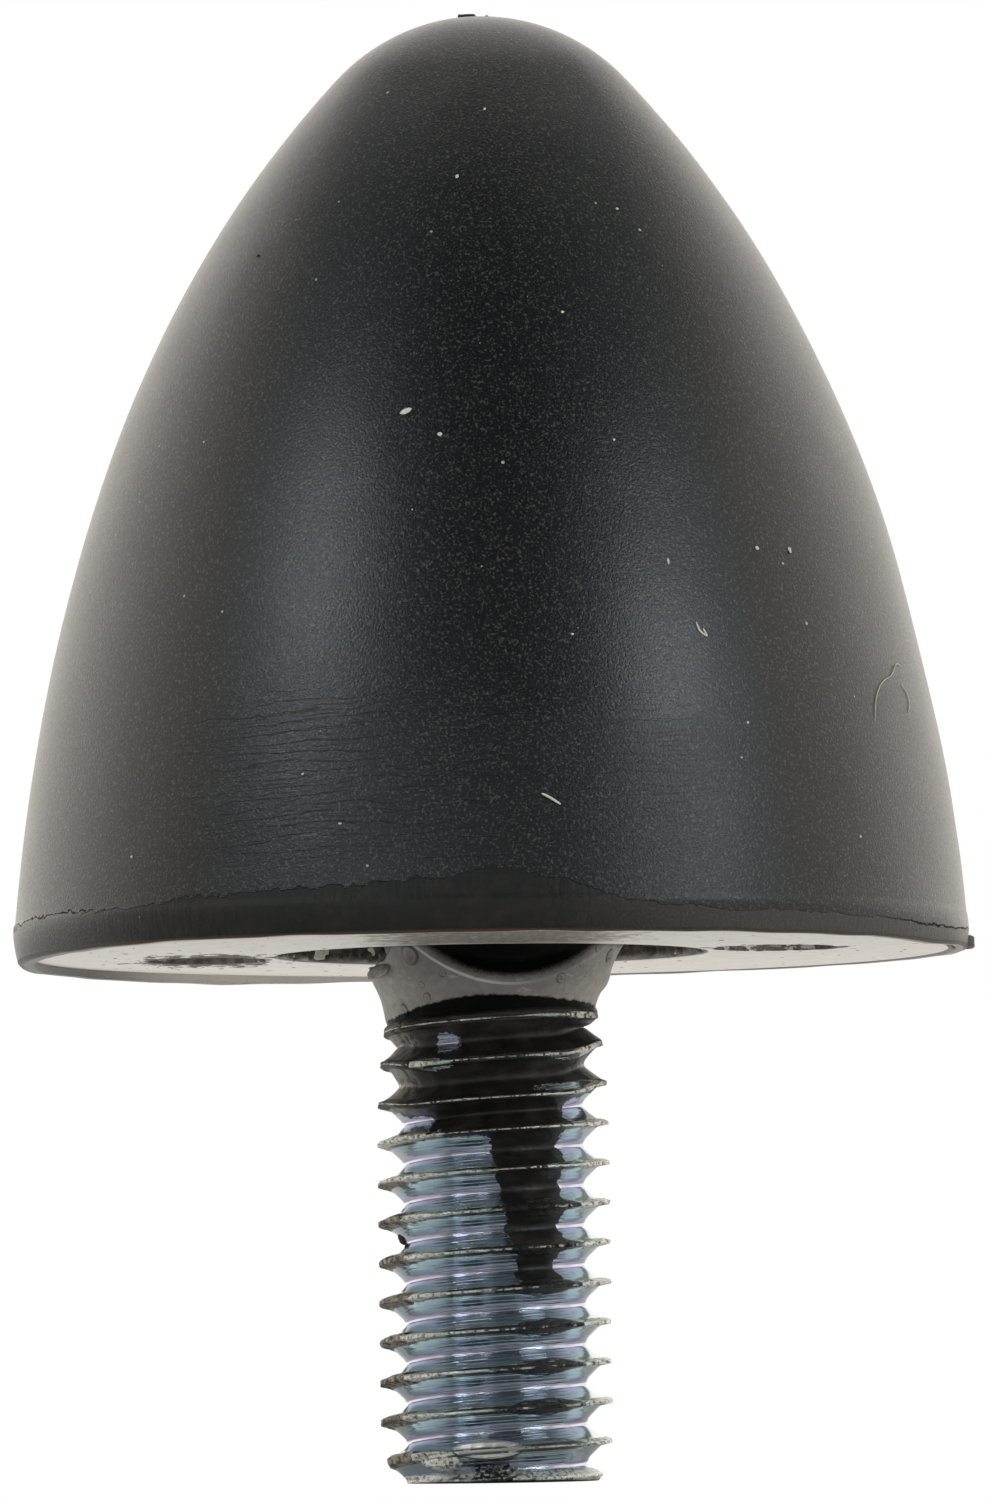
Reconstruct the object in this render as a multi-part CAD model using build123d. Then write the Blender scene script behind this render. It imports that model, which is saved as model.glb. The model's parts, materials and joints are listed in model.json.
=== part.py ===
"""Parabolic rubber buffer on a steel base plate, with a threaded stud.

Millimetres. +Z runs along the axis towards the tip of the dome. The origin is on the axis in the
mounting face, which is the underside of the base plate, so the stud lies at negative Z.
"""

from build123d import *
from build123d.topology import SkipClean
import math
import os

# Rubber dome
base_dia = 38.2  # at the parting line, where the dome is widest
dome_height = 37.7  # mounting face to tip
parting_height = 1.2  # mould parting line above the mounting face
rim_draft = 0.35  # how far the rim draws in from the parting line to the mounting face
# Where the arcs of the wall meet, from the tip down: share of the height above the parting line, then share
# of the base radius
dome_stations = ((0.93, 0.307), (0.70, 0.6245), (0.40, 0.859))
pip_dia = 0.8  # trimmed vent pip beside the tip
pip_height = 0.15
pip_offset = 0.45
tab_width = 1.6  # flash tab on the rim
tab_height = 0.5
tab_length = 0.3

# Rubber rim, collar and plugs
rim_wall = 0.8  # rubber outside the edge of the plate
skirt_drop = 0.42  # how far the rim hangs below the mounting face on its low side
skirt_angle = 140.0  # degrees from +X to the low side
recess_film = 0.2  # rubber lining on the floor of the recess
plug_recess = 0.35  # each plug stops this far short of the mounting face
collar_flare_dia = 11.4  # at the floor of the recess
collar_dia = 10.2  # in the mounting face
collar_shoulder_dia = 9.4
collar_shoulder_drop = 1.25  # below the mounting face
collar_end_dia = 8.3  # where the thread starts

# Base plate
plate_thickness = 2.5
plate_edge_chamfer = 0.3
recess_dia = 17.4
recess_depth = 1.0
key_hole_dia = 4.9
key_hole_count = 2
key_hole_angle = -12.0  # degrees from +X to the first hole
key_hole_web = 0.45  # steel left between a key hole and the recess

# Threaded stud
thread_dia = 9.3  # over the crests
thread_pitch = 1.5875
thread_depth = 1.0
flank_angle = 30.0  # degrees from each flank to a plane square to the axis
crest_land = thread_pitch / 8  # flat left on the crests
crest_drop = 0.44  # a crest crosses +X this far below the mounting face, give or take whole pitches
land_arcs = 16  # patches in one turn of the crest
stud_length = 21.1  # mounting face to end
neck_length = 2.4  # plain neck below the mounting face
neck_relief = 0.1  # neck radius below the thread root
run_in = 1.6  # length over which the crests grow to full height
tip_chamfer = 0.75
head_dia = 15.0
head_height = 3.0
head_chamfer = 0.5
head_gap = 0.6  # rubber between the head and the plate
stud_hole_gap = 0.8  # radial, round the crests, so that the stud passes through the plate

base_radius = base_dia / 2
rim_radius = base_radius - rim_draft
plate_radius = base_radius - rim_wall
recess_radius = recess_dia / 2
thread_radius = thread_dia / 2
root_radius = thread_radius - thread_depth
neck_radius = root_radius - neck_relief
stud_hole_radius = thread_radius + stud_hole_gap
key_hole_pitch_radius = recess_radius + key_hole_web + key_hole_dia / 2
head_bottom = plate_thickness + head_gap
lap = 1.0  # how far a cutting shape runs past the surface that it leaves


def key_hole_places():
    return PolarLocations(key_hole_pitch_radius, key_hole_count, start_angle=key_hole_angle)


def make_base_plate():
    """A disc with a stepped centre hole and the key holes."""
    plate = extrude(Circle(plate_radius), plate_thickness)
    plate = chamfer(plate.edges().group_by(Axis.Z)[-1], plate_edge_chamfer)
    plate -= extrude(Circle(stud_hole_radius), plate_thickness)
    plate -= extrude(Circle(recess_radius), recess_depth)
    plate -= key_hole_places() * Cylinder(
        key_hole_dia / 2, plate_thickness, align=(Align.CENTER, Align.CENTER, Align.MIN)
    )
    return plate


def thread_groove():
    """The V groove of a right-hand thread: its section swept down a helix, from the neck to past the end."""
    slope = math.tan(math.radians(flank_angle))
    floor_half = (thread_pitch - crest_land) / 2 - thread_depth * slope
    mouth_lap = crest_land / 4 / slope
    mouth_half = floor_half + (thread_depth + mouth_lap) * slope
    section = Plane.XZ * Polyline(
        (root_radius, -floor_half),
        (thread_radius + mouth_lap, -mouth_half),
        (thread_radius + mouth_lap, mouth_half),
        (root_radius, floor_half),
        close=True,
    )
    turns = math.ceil(stud_length / thread_pitch) + 2
    start = thread_pitch / 2 - crest_drop - turns * thread_pitch
    turn = Helix(pitch=thread_pitch, height=thread_pitch, radius=root_radius)
    path = Wire([Pos(0, 0, count * thread_pitch) * turn for count in range(turns)])
    return Pos(0, 0, start) * sweep(make_face(section), path=path, is_frenet=True)


def thread_blank():
    """The bar that the thread is cut in, tapered where the crests grow and chamfered at its end.

    Its wall is a ring of arcs, so every land of the finished thread is a short patch of a true cylinder.
    """
    arc = 360 / land_arcs
    outline = Wire([CenterArc((0, 0), thread_radius, count * arc, arc) for count in range(land_arcs)])
    bar = Pos(0, 0, -stud_length) * extrude(make_face(outline), stud_length - neck_length, clean=False)
    taper_lap = lap * run_in / (thread_radius - neck_radius)
    ends = Plane.XZ * Polyline(
        (0, -stud_length),
        (thread_radius - tip_chamfer, -stud_length),
        (thread_radius + lap, -stud_length + tip_chamfer + lap),
        (thread_radius + lap, -neck_length - run_in - taper_lap),
        (neck_radius, -neck_length),
        (0, -neck_length),
        close=True,
    )
    return bar.intersect(revolve(make_face(ends), Axis.Z))[0]


def neck_and_head():
    section = Plane.XZ * Polyline(
        (0, -neck_length),
        (neck_radius, -neck_length),
        (neck_radius, head_bottom),
        (head_dia / 2, head_bottom),
        (head_dia / 2, head_bottom + head_height - head_chamfer),
        (head_dia / 2 - head_chamfer, head_bottom + head_height),
        (0, head_bottom + head_height),
        close=True,
    )
    return revolve(make_face(section), Axis.Z)


def make_threaded_stud():
    """Head, plain neck and thread in one piece. Its faces aren't merged, so the lands stay short patches."""
    with SkipClean():
        threaded = thread_blank().cut(thread_groove())
        return threaded.fuse(neck_and_head())


def dome():
    """The parabolic body over a drafted rim, solid to the axis. Its wall is a chain of tangent arcs from the tip."""
    wall_height = dome_height - parting_height
    joints = [
        (base_radius * radius_share, parting_height + wall_height * height_share)
        for height_share, radius_share in dome_stations
    ]
    points = [(0, dome_height), *joints, (base_radius, parting_height)]
    heading = (1, 0)
    wall = []
    for start, end in zip(points, points[1:]):
        arc = TangentArc(start, end, tangent=heading)
        heading = arc % 1
        wall.append(arc)
    foot = Polyline(points[-1], (rim_radius, 0), (0, 0), points[0])
    return revolve(Plane.XZ * make_face(Wire([*wall, *foot.edges()])), Axis.Z)


def skirt():
    """The ring of rim that hangs below the mounting face on its low side, cut off along a slanting plane."""
    ring = extrude(Circle(rim_radius) - Circle(plate_radius), -skirt_drop)
    low_side = math.radians(skirt_angle)
    slant = Plane(
        origin=(0, 0, 0),
        z_dir=(skirt_drop * math.cos(low_side), skirt_drop * math.sin(low_side), rim_radius),
    )
    return split(ring, bisect_by=slant, keep=Keep.TOP)


def collar():
    """The flared sleeve of rubber round the neck, from the floor of the recess to the first thread."""
    floor = recess_depth - recess_film
    section = Plane.XZ * Polyline(
        (0, floor),
        (collar_flare_dia / 2, floor),
        (collar_dia / 2, 0),
        (collar_shoulder_dia / 2, -collar_shoulder_drop),
        (collar_end_dia / 2, -neck_length),
        (0, -neck_length),
        close=True,
    )
    return revolve(make_face(section), Axis.Z)


def make_rubber_body(plate, stud):
    """All the rubber, moulded in one shot round the plate and the head of the stud."""
    rubber = dome() + skirt()
    rubber += Pos(-pip_offset, 0, dome_height) * Cylinder(pip_dia / 2, 2 * pip_height)
    rubber += Pos(rim_radius, 0, 0) * Box(
        2 * (rim_draft + tab_length), tab_width, tab_height, align=(Align.CENTER, Align.CENTER, Align.MIN)
    )
    rubber -= extrude(Circle(recess_radius), recess_depth - recess_film)
    rubber -= key_hole_places() * Cylinder(
        key_hole_dia / 2, plug_recess, align=(Align.CENTER, Align.CENTER, Align.MIN)
    )
    rubber += collar()
    return rubber - plate - stud


base_plate = make_base_plate()
threaded_stud = make_threaded_stud()
rubber_body = make_rubber_body(base_plate, threaded_stud)

os.makedirs("parts", exist_ok=True)
export_step(rubber_body, "parts/rubber_body.step")
export_step(base_plate, "parts/base_plate.step")
export_step(threaded_stud, "parts/threaded_stud.step")
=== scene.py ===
"""Looks for a rubber buffer: its moulded dome, collar, plated base plate and worn thread, on a plain stage.

Sizes in the mesh code are millimetres in the frame of the solids: +Z runs to the tip of the dome, the origin
is on the axis in the underside of the base plate, and the photograph looks along +Y. Angles round the axis
start at +X and run anticlockwise seen from the tip.
"""

import json
import math

import bmesh
import bpy
import numpy as np
from mathutils import Euler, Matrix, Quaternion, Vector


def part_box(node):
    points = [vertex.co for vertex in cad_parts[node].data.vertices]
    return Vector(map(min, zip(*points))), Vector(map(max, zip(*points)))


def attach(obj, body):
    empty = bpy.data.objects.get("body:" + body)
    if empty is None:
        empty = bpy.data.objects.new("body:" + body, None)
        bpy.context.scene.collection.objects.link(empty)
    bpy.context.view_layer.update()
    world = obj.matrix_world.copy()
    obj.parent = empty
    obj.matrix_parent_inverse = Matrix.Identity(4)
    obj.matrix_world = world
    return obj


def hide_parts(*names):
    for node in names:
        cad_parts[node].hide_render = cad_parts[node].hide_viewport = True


bl_info = {
    "name": "Rubber Buffer",
    "version": (1, 0, 0),
    "blender": (4, 5, 0),
    "location": "View3D > Sidebar > Buffer",
    "description": "Builds the looks of a parabolic rubber buffer with a threaded stud",
    "category": "Object",
}

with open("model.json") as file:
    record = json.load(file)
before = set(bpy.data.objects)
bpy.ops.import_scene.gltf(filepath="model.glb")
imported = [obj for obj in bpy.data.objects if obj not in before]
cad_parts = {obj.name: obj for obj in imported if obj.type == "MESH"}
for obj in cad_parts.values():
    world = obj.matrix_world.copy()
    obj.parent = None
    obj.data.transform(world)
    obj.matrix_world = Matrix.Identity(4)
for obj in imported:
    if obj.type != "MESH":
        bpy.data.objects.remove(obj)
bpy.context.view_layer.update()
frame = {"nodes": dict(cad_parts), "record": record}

MM = 0.001
rubber_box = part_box("rubber_body")
plate_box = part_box("base_plate")
stud_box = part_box("threaded_stud")
stud_mount = next(mount for mount in frame["record"]["mounts"] if mount["name"] == "stud")

# Columns round the axis, and millimetres between the rows of the collar
dome_columns = 480
collar_columns = 560
plug_columns = 72
thread_columns = 240
collar_row = 0.055

# fmt: off
# Dome, in millimetres
nib_height = 0.15
dome_height = rubber_box[1].z / MM - nib_height
base_radius = rubber_box[1].y / MM
parting_height = 1.2
rim_draft = 0.35
# Where the arcs of the wall meet: share of the height above the parting line, then share of the base radius
dome_stations = ((0.93, 0.307), (0.70, 0.6245), (0.40, 0.859))
rim_rounding = 0.09
hidden_floor = 1.5  # the skin closes on this plane, inside the base plate
# Degrees round the rim, then how far the rim hangs below the plate
rim_drops = (
    (0, 0.03), (30, 0.04), (60, 0.04), (80, 0.07), (105, 0.2), (127, 0.36), (146, 0.33), (160, 0.33),
    (172, 0.31), (184, 0.2), (202, 0.13), (214, 0.04), (230, 0.0), (322, 0.02), (338, 0.15), (350, 0.04),
)
# Degrees round the rim, then the height of the upper edge of the smooth trimmed band
band_heights = (
    (0, 0.8), (40, 1.1), (90, 1.4), (140, 1.0), (180, 1.1), (203, 1.45), (225, 1.4), (232, 1.7), (246, 1.8),
    (259, 2.0), (271, 2.45), (279, 2.0), (284, 1.42), (289, 1.1), (297, 0.9), (312, 0.8), (332, 0.65),
    (345, 0.6),
)

# Collar and recess
plate_radius = plate_box[1].x / MM
# Radius, then height, from the mouth of the recess to the first thread
collar_profile = (
    (8.69, 0.02), (8.62, 0.12), (8.55, 0.72), (8.3, 0.8), (6.4, 0.8), (5.75, 0.72), (5.38, 0.4), (5.1, 0.0),
    (4.93, -0.4), (4.84, -0.75), (4.78, -1.0), (4.68, -1.25), (4.53, -1.5), (4.42, -1.75), (4.3, -2.1),
    (4.2, -2.4), (4.12, -2.65),
)
collar_mouth = 6.5  # radius within which the collar has its own relief
recess_wall = (7.6, 8.4)  # radii between which the rubble of the wall sets in
# Degrees round the collar, height, radius of the ring and height of its lip
bubbles = (
    (230, -0.15, 0.3, 0.1), (234, -1.8, 0.13, 0.07), (233, -1.35, 0.1, 0.06), (341, -0.2, 0.2, 0.08),
    (327, 0.05, 0.12, 0.05), (306, -1.15, 0.15, 0.07), (262, -1.2, 0.08, 0.04), (246, -0.95, 0.1, -0.05),
    (216, -2.1, 0.16, 0.07), (318, -0.7, 0.07, 0.04), (322, -1.0, 0.06, 0.04), (75, -0.5, 0.2, 0.06),
    (110, -1.3, 0.14, 0.05), (160, -0.7, 0.18, 0.05), (20, -1.1, 0.12, 0.04),
)
# Degrees from the front, then the height above which a piece of the collar is torn out
notch_edge = ((-126, 0.6), (-110, -0.45), (-75, -0.5), (-60, -0.25), (-52, 0.1), (-47, 0.6))
notch_radius = 4.15
# The smooth pocket in front: height of its lowest edge, how far that rises over the half width, where the
# middle lies along X, the half width, and the degrees from the front that it reaches
pocket_low, pocket_rise, pocket_middle, pocket_half, pocket_reach = -1.27, 1.3, 0.8, 3.5, 70
# Degrees round the axis from which the last rows of the collar start to rise, and how far, in pitches
follow_start, follow_rise = 255, 0.24
key_hole_radius = 2.45
key_hole_place = (11.35, -2.41)  # the other one is opposite
plug_recess = 0.3

# Thread
crest_radius = stud_mount["dims"]["r_mm"]
thread_pitch = 1.5875
crest_drop = 0.44  # a crest crosses +X this far below the plate, give or take whole pitches
root_radius = 3.62
stud_end = stud_box[0].z / MM
thread_start = -1.7  # inside the collar
start_radius = 3.9
end_radius = crest_radius - 0.68
torn_depth = 0.4  # from the torn metal at the end to what lies round it
# Share of a pitch away from a crest, then the radius there: on the side of the dome, then on the other side
flank_over = (
    (0, crest_radius), (0.045, crest_radius), (0.075, 4.5), (0.1, 4.36), (0.18, 4.17), (0.25, 4.01),
    (0.33, 3.83), (0.4, 3.68), (0.46, root_radius), (0.5, root_radius),
)
flank_under = (
    (0, crest_radius), (0.045, crest_radius), (0.065, 4.5), (0.1, 4.2), (0.13, 4.12), (0.2, 4.0),
    (0.28, 3.87), (0.35, 3.75), (0.43, 3.64), (0.5, root_radius),
)
# Depth below the plate, then the radius that the first crests reach there
crest_growth = ((1.7, 4.2), (2.4, 4.3), (3.6, 4.4), (5.0, 4.54), (6.6, crest_radius))
# Height above the end, then the radius of the worn chamfer
end_chamfer = ((0, 4.02), (0.35, 4.24), (0.6, 4.32), (1.1, 4.42), (1.6, 4.8))
# Degrees from the front, then the height down to which black rubber covers the thread
film_edges = (
    (-180, -6.6), (-130, -5.6), (-90, -6.2), (-60, -6.4), (-42, -6.4), (-36, -7.3), (-8, -7.4), (-1, -7.6),
    (2, -10.0), (10, -11.6), (13, -13.2), (38, -13.5), (41, -12.0), (44, -7.0), (50, -5.8), (90, -5.5),
    (130, -6.4), (180, -6.6),
)
# Degrees from the front, then how far grime covers a crest to each side, in pitches
grime_widths = (
    (-30, -0.2), (-14, -0.05), (-6, 0.0), (7, 0.09), (18, 0.19), (31, 0.22), (40, 0.17), (50, 0.05),
    (55, -0.2),
)
# Patches on the thread: degrees from the front, height, half the width in degrees and half the height
bare_patches = ((-28, -3.35, 9, 0.45), (-36, -4.22, 15, 0.26), (50, -5.2, 28, 0.22), (54, -3.9, 26, 0.22))
# The same for the torn metal at the end of the stud, which is crumbled or curled over, and the radius of each
torn_places = {"crumbled": ((-33, -20.27, 15, 0.4), 4.32), "curl": ((-5, -19.86, 21, 0.42), 4.42)}
end_rise = 0.01  # half of how far the end is out of square, lowest on the left

# Specks on the dome: degrees round, height, length, width, tilt in degrees
specks = (
    (258.0, 20.6, 0.5, 0.24, 25), (263.5, 19.65, 0.2, 0.16, 0), (264.5, 30.3, 0.2, 0.14, 60),
    (310.0, 15.2, 0.2, 0.15, 0), (316.2, 15.2, 0.15, 0.24, 0), (295.2, 14.55, 0.1, 0.24, 0),
    (284.0, 24.6, 0.14, 0.1, 0), (300.5, 29.0, 0.12, 0.1, 0), (247.0, 6.3, 0.12, 0.1, 30),
    (281.0, 11.6, 0.12, 0.1, 0), (233.0, 12.9, 0.1, 0.1, 0), (271.5, 33.2, 0.14, 0.1, 70),
    (252.0, 4.3, 0.13, 0.08, 0), (304.0, 8.2, 0.11, 0.1, 0), (222.0, 3.4, 0.12, 0.1, 0),
    (289.5, 19.4, 0.1, 0.1, 0),
)
# Threads of lint: its radius, then places as degrees round and height
lint = (
    (0.05, (276.3, 5.33), (277.4, 5.14), (278.6, 4.88)),
    (0.04, (298.1, 12.15), (298.5, 11.8), (299.4, 11.6), (299.0, 11.9)),
    (0.018, (338.8, 10.9), (336.8, 10.95), (334.6, 10.5), (331.0, 10.1), (328.6, 9.4), (327.4, 8.5)),
    (0.016, (337.4, 10.2), (338.9, 9.6), (337.6, 9.0)),
)
# fmt: on


def math_method(operation, swapped=False):
    """A method that adds a Math node for the wire and, where there is one, a second value."""

    def method(self, *other):
        values = (*other, self) if swapped else (self, *other)
        return self.math(operation, *values)

    return method


class Wire:
    """One socket of a node tree that arithmetic can be written on. Each operation adds a Math node."""

    def __init__(self, shader, socket):
        self.shader = shader
        self.socket = socket

    def math(self, operation, *values):
        return self.shader.node("ShaderNodeMath", {"operation": operation}, dict(enumerate(values)))

    __add__ = __radd__ = math_method("ADD")
    __sub__ = math_method("SUBTRACT")
    __rsub__ = math_method("SUBTRACT", swapped=True)
    __mul__ = __rmul__ = math_method("MULTIPLY")
    __truediv__ = math_method("DIVIDE")
    __pow__ = math_method("POWER")
    __abs__ = math_method("ABSOLUTE")
    sine = math_method("SINE")
    at_most = math_method("MINIMUM")
    at_least = math_method("MAXIMUM")

    def rise(self, low, high):
        """0 below low, 1 above high and a smooth step between. It falls instead where low is above high."""
        if low > high:
            return 1 - self.rise(high, low)
        settings = {"interpolation_type": "SMOOTHSTEP"}
        return self.shader.node("ShaderNodeMapRange", settings, {0: self, 1: low, 2: high})


class Shader:
    """Builds the node tree of one material or world."""

    def __init__(self, owner):
        owner.use_nodes = True
        self.tree = owner.node_tree
        self.tree.nodes.clear()

    def node(self, kind, settings=None, sockets=None, output=0):
        """Adds a node, applies its settings, fills its sockets with values or links, and gives one output."""
        made = self.tree.nodes.new(kind)
        for key, value in (settings or {}).items():
            setattr(made, key, value)
        for key, value in (sockets or {}).items():
            socket = made.inputs[key]
            if isinstance(value, Wire):
                self.tree.links.new(value.socket, socket)
            elif socket.type == "RGBA":
                socket.default_value = (*value, 1)
            else:
                socket.default_value = value
        return Wire(self, made.outputs[output])

    def position(self):
        """The place on the object, in millimetres."""
        place = self.node("ShaderNodeTexCoord", output="Object")
        return self.node("ShaderNodeVectorMath", {"operation": "SCALE"}, {0: place, "Scale": 1 / MM})

    def axes(self, vector):
        return [self.node("ShaderNodeSeparateXYZ", None, {0: vector}, name) for name in "XYZ"]

    def vector(self, x, y, z):
        return self.node("ShaderNodeCombineXYZ", None, {0: x, 1: y, 2: z})

    def noise(self, vector, scale, detail=2.0, roughness=0.5, stretch=None):
        if stretch:
            vector = self.node("ShaderNodeVectorMath", {"operation": "MULTIPLY"}, {0: vector, 1: stretch})
        sockets = {"Vector": vector, "Scale": scale, "Detail": detail, "Roughness": roughness}
        return self.node("ShaderNodeTexNoise", None, sockets, "Fac")

    def cells(self, vector, scale, output="Distance"):
        return self.node("ShaderNodeTexVoronoi", None, {"Vector": vector, "Scale": scale}, output)

    def attribute(self, name):
        return self.node("ShaderNodeAttribute", {"attribute_name": name}, None, "Fac")

    def mix(self, factor, first, second):
        """A colour between two colours."""
        sockets = {0: factor, 6: first, 7: second}
        return self.node("ShaderNodeMix", {"data_type": "RGBA"}, sockets, 2)

    def paint(self, colour, *layers):
        """A colour with layers laid over it, each one given as its mask and its colour."""
        for mask, tone in layers:
            colour = self.mix(mask, colour, tone)
        return colour

    def blend(self, value, *stops):
        """A colour read from stops of place and colour."""
        blended = stops[0][1]
        for (low, _), (high, colour) in zip(stops, stops[1:]):
            blended = self.mix(value.rise(low, high), blended, colour)
        return blended

    def ellipse(self, place, centre, half):
        """1 in the middle of an ellipse and 0 on its edge, from two wires, its centre and its half axes."""
        across = (place[0] - centre[0]) / half[0]
        upward = (place[1] - centre[1]) / half[1]
        return 1 - (across * across + upward * upward)

    def bump(self, height, depth, normal=None):
        """A bumped normal from a height of 0 to 1 that stands for a depth in millimetres."""
        sockets = {"Height": height, "Strength": 1.0, "Distance": depth * MM}
        if normal:
            sockets["Normal"] = normal
        return self.node("ShaderNodeBump", None, sockets)

    def principled(self, **sockets):
        """A Principled surface. Names are those of its sockets, with _ for a space."""
        named = {key.replace("_", " "): value for key, value in sockets.items()}
        return self.node("ShaderNodeBsdfPrincipled", None, named)

    def choose(self, factor, first, second):
        """A surface between two surfaces."""
        return self.node("ShaderNodeMixShader", None, {0: factor, 1: first, 2: second})

    def output(self, surface, kind="ShaderNodeOutputMaterial"):
        made = self.tree.nodes.new(kind)
        self.tree.links.new(surface.socket, made.inputs["Surface"])


def new_shader(name):
    """A new material, the builder of its nodes, the place on the object and the three axes of that place."""
    material = bpy.data.materials.new(name)
    shader = Shader(material)
    place = shader.position()
    return material, shader, place, shader.axes(place)


def smooth_step(value, low, high):
    """0 up to low, 1 from high on, and 3s² - 2s³ over the share s of the way between."""
    share = np.clip((value - low) / (high - low), 0, 1)
    return share * share * (3 - 2 * share)


def bell(value, middle, width):
    """1 in the middle, falling off to both sides over the width."""
    return np.exp(-(((value - middle) / width) ** 2))


def table_value(value, table):
    """A value read between the rows of a table."""
    return np.interp(value, *np.array(table, float).T)


def lattice_noise(u, v, seed, around):
    """Noise from -1 to 1: random heights on a unit lattice, blended by a smooth step across each cell.

    It repeats in u every so many cells as are given.
    """
    tall = 512
    heights = np.random.default_rng(seed).uniform(-1, 1, (around, tall))
    column, row = np.floor(u).astype(int), np.floor(v).astype(int)
    across, along = smooth_step(u - column, 0, 1), smooth_step(v - row, 0, 1)
    near, far = [
        heights[side % around, row % tall] * (1 - along) + heights[side % around, (row + 1) % tall] * along
        for side in (column, column + 1)
    ]
    return near * (1 - across) + far * across


def round_noise(angle, height, *layers):
    """Noise round the axis: a sum of layers, each one its depth, cells in a turn, cell height and seed."""
    turns = angle / (2 * np.pi)
    return sum(
        depth * lattice_noise(turns * cells, height / tall, seed, cells)
        for depth, cells, tall, seed in layers
    )


def round_value(angle, table):
    """A value read at an angle, in radians, from rows of degrees and values that close round the axis."""
    degrees, values = np.array(table, float).T
    return np.interp(np.degrees(angle) % 360, degrees, values, period=360)


def front_angle(angle):
    """Degrees from the side that faces the photograph, positive towards +X."""
    return (np.degrees(angle) - 90) % 360 - 180


def arc_chain(points, heading, per_arc):
    """Places along a chain of tangent arcs through the points, as an array of radius and height.

    An arc leaves its start along the heading. If its chord makes the angle a with the heading, its radius is
    the chord over 2 sin a, and it turns the heading by 2a.
    """
    places = []
    heading = np.array(heading, float)
    for start, end in zip(points, points[1:]):
        chord = np.subtract(end, start)
        side = np.array([-heading[1], heading[0]])
        lean = math.atan2(chord @ side, chord @ heading)
        radius = np.hypot(*chord) / (2 * math.sin(lean))
        turn = np.linspace(0, 2 * lean, per_arc + 1)[:, None]
        places.append(start + radius * (np.sin(turn) * heading + (1 - np.cos(turn)) * side))
        heading = math.cos(2 * lean) * heading + math.sin(2 * lean) * side
    return np.vstack([places[0], *[stretch[1:] for stretch in places[1:]]])


def resample(profile, lengths):
    """The places on a profile at the given shares of its length."""
    run = np.concatenate([[0], np.cumsum(np.hypot(*np.diff(profile, axis=0).T))])
    wanted = np.asarray(lengths) * run[-1]
    return np.stack([np.interp(wanted, run, profile[:, axis]) for axis in (0, 1)], axis=1)


def eased_path(points, per_step):
    """Places along a Catmull-Rom curve through a few points."""
    points = np.array(points, float)
    padded = np.vstack([2 * points[0] - points[1], points, 2 * points[-1] - points[-2]])
    share = np.linspace(0, 1, per_step, endpoint=False)[:, None]
    stretches = []
    for a, b, c, d in zip(padded, padded[1:], padded[2:], padded[3:]):
        cubic = 2 * b + (c - a) * share + (2 * a - 5 * b + 4 * c - d) * share**2
        stretches.append(0.5 * (cubic + (3 * b - a - 3 * c + d) * share**3))
    return np.vstack([*stretches, points[-1:]])


def eased_profile(points, spacing):
    """A smooth profile through a few points, sampled evenly."""
    curve = eased_path(points, 24)
    length = np.hypot(*np.diff(curve, axis=0).T).sum()
    return resample(curve, np.linspace(0, 1, int(length / spacing) + 1))


def dome_wall():
    """The wall of the dome from its tip to the parting line, as radius and height."""
    wall_height = dome_height - parting_height
    joints = [(base_radius * r, parting_height + wall_height * h) for h, r in dome_stations]
    wall = arc_chain([(0, dome_height), *joints, (base_radius, parting_height)], (1, 0), 60)
    near_rim = 0.9  # share of the wall's length from which the rows lie closer
    upper = np.linspace(0, near_rim, 110, endpoint=False)
    return resample(wall, np.concatenate([upper, np.linspace(near_rim, 1, 40)]))


def turned(profile, columns):
    """Grids of angle, radius and height of a profile turned about the axis, a row for each of its points."""
    angle = np.linspace(0, 2 * np.pi, columns, endpoint=False)
    radius, height = np.repeat(profile[:, :1], columns, 1), np.repeat(profile[:, 1:], columns, 1)
    return np.broadcast_to(angle, radius.shape), radius, height


def outward(radius, height):
    """The direction out of a turned surface, which is a quarter turn from its run down the rows."""
    run = np.stack([np.gradient(radius, axis=0), np.gradient(height, axis=0)])
    run /= np.maximum(np.hypot(*run), 1e-9)
    return -run[1], run[0]


def placed(angle, radius, height):
    """Places in millimetres from an angle, a radius and a height."""
    return np.stack([radius * np.cos(angle), radius * np.sin(angle), height], axis=-1)


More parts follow.
